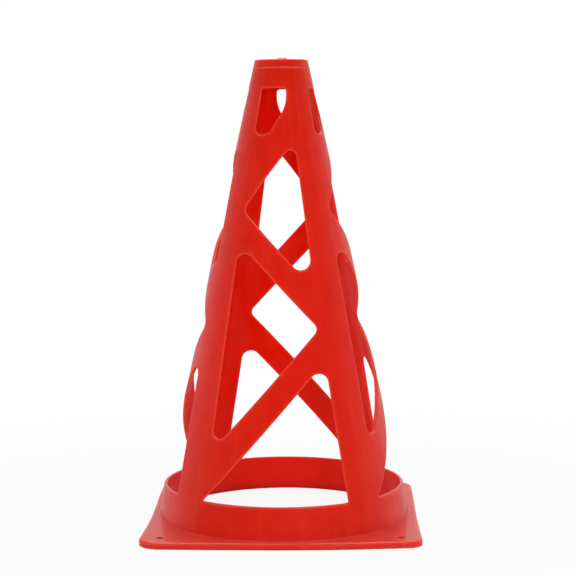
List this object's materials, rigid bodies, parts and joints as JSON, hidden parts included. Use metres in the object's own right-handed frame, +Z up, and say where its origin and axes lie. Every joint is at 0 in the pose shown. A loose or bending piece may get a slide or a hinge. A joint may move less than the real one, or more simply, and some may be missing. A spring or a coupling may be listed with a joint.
{
  "type": "training cone",
  "caption": "Lattice-walled marker cone on a square flange: one hollow soft-plastic moulding that stands free, stacks, and can be pegged down at its corners.",
  "frame": {"origin": "on the ground, at the middle of the square flange's underside, on the cone's axis", "axes": "+Z up along the cone's axis; X and Y along the flange's sides, with the front side at -Y"},
  "size_m": [0.1778, 0.1778, 0.3057],
  "materials": {
    "red_plastic": "satin"
  },
  "bodies": {
    "root": {"base_flange": "red_plastic", "collar": "red_plastic", "crown": "red_plastic", "post_front_right": "red_plastic", "post_back_right": "red_plastic", "post_back_left": "red_plastic", "post_front_left": "red_plastic", "brace_upper_front": "red_plastic", "brace_upper_right": "red_plastic", "brace_upper_back": "red_plastic", "brace_upper_left": "red_plastic", "brace_middle_front": "red_plastic", "brace_middle_right": "red_plastic", "brace_middle_back": "red_plastic", "brace_middle_left": "red_plastic", "brace_lower_front": "red_plastic", "brace_lower_right": "red_plastic", "brace_lower_back": "red_plastic", "brace_lower_left": "red_plastic"}
  },
  "joints": []
}
